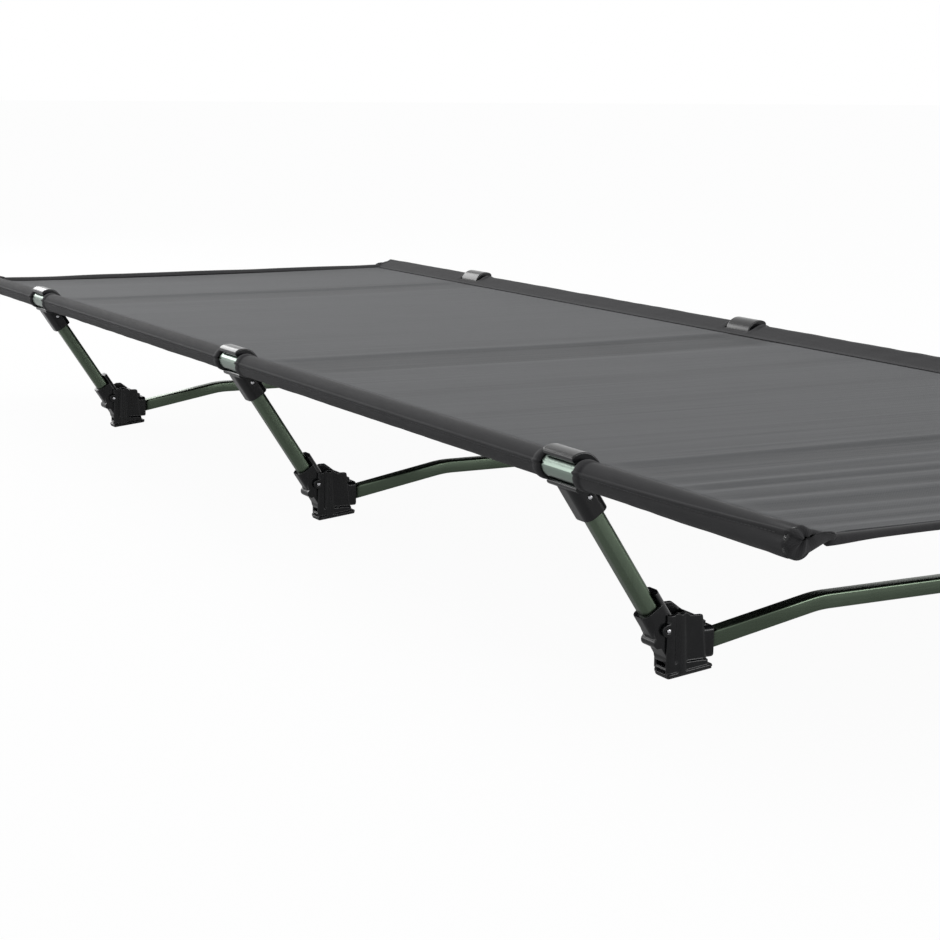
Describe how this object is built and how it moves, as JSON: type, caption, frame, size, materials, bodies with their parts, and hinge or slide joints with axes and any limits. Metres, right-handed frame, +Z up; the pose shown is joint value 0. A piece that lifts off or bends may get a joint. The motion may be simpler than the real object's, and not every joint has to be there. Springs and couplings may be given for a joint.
{
  "type": "folding camp cot",
  "caption": "Low lightweight camp cot: fabric deck on two aluminium side rails, carried by bow-shaped legs whose struts fold inwards.",
  "frame": {"origin": "on the floor below the middle leg, half-way between the rails", "axes": "+X across to the right rail, +Y along the cot to its head end, +Z up"},
  "size_m": [0.6702, 1.9, 0.1892],
  "materials": {
    "deck_fabric": "woven, slightly wrinkled",
    "sleeve_fabric": "woven, darker",
    "rail_aluminium": "green-tinted satin anodised",
    "green_anodised": "dark green satin anodised",
    "black_plastic": "gloss moulded",
    "steel": "satin",
    "pad_rubber": "matt",
    "elastic_cord": "braided elastic"
  },
  "bodies": {
    "deck": {"deck_panel": "deck_fabric", "head_hem": "sleeve_fabric", "foot_hem": "sleeve_fabric", "left_sleeve": "sleeve_fabric", "left_rail_tubes": "rail_aluminium", "left_rail_ferrules": "rail_aluminium", "left_end_caps": "black_plastic", "left_shock_cord": "elastic_cord"},
    "right_rail": {"right_sleeve": "sleeve_fabric", "right_rail_tubes": "rail_aluminium", "right_rail_ferrules": "rail_aluminium", "right_end_caps": "black_plastic", "right_shock_cord": "elastic_cord"},
    "head_left_arm": {"head_left_clip": "black_plastic", "head_left_strut": "green_anodised", "head_left_lever": "black_plastic", "head_left_clip_rivet": "steel"},
    "head_right_arm": {"head_right_clip": "black_plastic", "head_right_strut": "green_anodised", "head_right_lever": "black_plastic", "head_right_clip_rivet": "steel"},
    "head_base": {"head_crossbar": "green_anodised", "head_left_hub": "black_plastic", "head_right_hub": "black_plastic", "head_ground_pads": "pad_rubber", "head_pivot_pins": "steel", "head_crossbar_rivets": "steel"},
    "middle_left_arm": {"middle_left_clip": "black_plastic", "middle_left_strut": "green_anodised", "middle_left_lever": "black_plastic", "middle_left_clip_rivet": "steel"},
    "middle_right_arm": {"middle_right_clip": "black_plastic", "middle_right_strut": "green_anodised", "middle_right_lever": "black_plastic", "middle_right_clip_rivet": "steel"},
    "middle_base": {"middle_crossbar": "green_anodised", "middle_left_hub": "black_plastic", "middle_right_hub": "black_plastic", "middle_ground_pads": "pad_rubber", "middle_pivot_pins": "steel", "middle_crossbar_rivets": "steel"},
    "foot_left_arm": {"foot_left_clip": "black_plastic", "foot_left_strut": "green_anodised", "foot_left_lever": "black_plastic", "foot_left_clip_rivet": "steel"},
    "foot_right_arm": {"foot_right_clip": "black_plastic", "foot_right_strut": "green_anodised", "foot_right_lever": "black_plastic", "foot_right_clip_rivet": "steel"},
    "foot_base": {"foot_crossbar": "green_anodised", "foot_left_hub": "black_plastic", "foot_right_hub": "black_plastic", "foot_ground_pads": "pad_rubber", "foot_pivot_pins": "steel", "foot_crossbar_rivets": "steel"}
  },
  "joints": [
    {"name": "middle_left_rail_pivot", "type": "hinge", "parent": "deck", "child": "middle_left_arm", "pos_m": [-0.3235, 0, 0.1725], "axis": [0, 1, 0], "range_deg": [0, 50], "deforming": ["deck_panel", "head_hem", "foot_hem"]},
    {"name": "middle_left_hub_pivot", "type": "hinge", "parent": "middle_left_arm", "child": "middle_base", "pos_m": [-0.2365, 0, 0.0393], "axis": [0, 1, 0], "range_deg": [-50, 0]},
    {"name": "middle_right_hub_pivot", "type": "hinge", "parent": "middle_base", "child": "middle_right_arm", "pos_m": [0.2365, 0, 0.0393], "axis": [0, 1, 0], "range_deg": [-50, 0]},
    {"name": "head_left_rail_pivot", "type": "hinge", "parent": "deck", "child": "head_left_arm", "pos_m": [-0.3235, 0.665, 0.1725], "axis": [0, 1, 0], "range_deg": [0, 50]},
    {"name": "head_left_hub_pivot", "type": "hinge", "parent": "head_left_arm", "child": "head_base", "pos_m": [-0.2365, 0.665, 0.0393], "axis": [0, 1, 0], "range_deg": [-50, 0]},
    {"name": "head_right_hub_pivot", "type": "hinge", "parent": "head_base", "child": "head_right_arm", "pos_m": [0.2365, 0.665, 0.0393], "axis": [0, 1, 0], "range_deg": [-50, 0]},
    {"name": "foot_left_rail_pivot", "type": "hinge", "parent": "deck", "child": "foot_left_arm", "pos_m": [-0.3235, -0.665, 0.1725], "axis": [0, 1, 0], "range_deg": [0, 50]},
    {"name": "foot_left_hub_pivot", "type": "hinge", "parent": "foot_left_arm", "child": "foot_base", "pos_m": [-0.2365, -0.665, 0.0393], "axis": [0, 1, 0], "range_deg": [-50, 0]},
    {"name": "foot_right_hub_pivot", "type": "hinge", "parent": "foot_base", "child": "foot_right_arm", "pos_m": [0.2365, -0.665, 0.0393], "axis": [0, 1, 0], "range_deg": [-50, 0]},
    {"name": "middle_right_rail_pivot", "type": "hinge", "parent": "middle_right_arm", "child": "right_rail", "pos_m": [0.3235, 0, 0.1725], "axis": [0, 1, 0], "range_deg": [0, 50]}
  ],
  "couplings": [
    {"joint": "middle_left_hub_pivot", "follows": "middle_left_rail_pivot", "ratio": -1},
    {"joint": "middle_right_hub_pivot", "follows": "middle_left_rail_pivot", "ratio": -1},
    {"joint": "head_left_rail_pivot", "follows": "middle_left_rail_pivot", "ratio": 1},
    {"joint": "head_left_hub_pivot", "follows": "middle_left_rail_pivot", "ratio": -1},
    {"joint": "head_right_hub_pivot", "follows": "middle_left_rail_pivot", "ratio": -1},
    {"joint": "foot_left_rail_pivot", "follows": "middle_left_rail_pivot", "ratio": 1},
    {"joint": "foot_left_hub_pivot", "follows": "middle_left_rail_pivot", "ratio": -1},
    {"joint": "foot_right_hub_pivot", "follows": "middle_left_rail_pivot", "ratio": -1},
    {"joint": "middle_right_rail_pivot", "follows": "middle_left_rail_pivot", "ratio": 1}
  ]
}
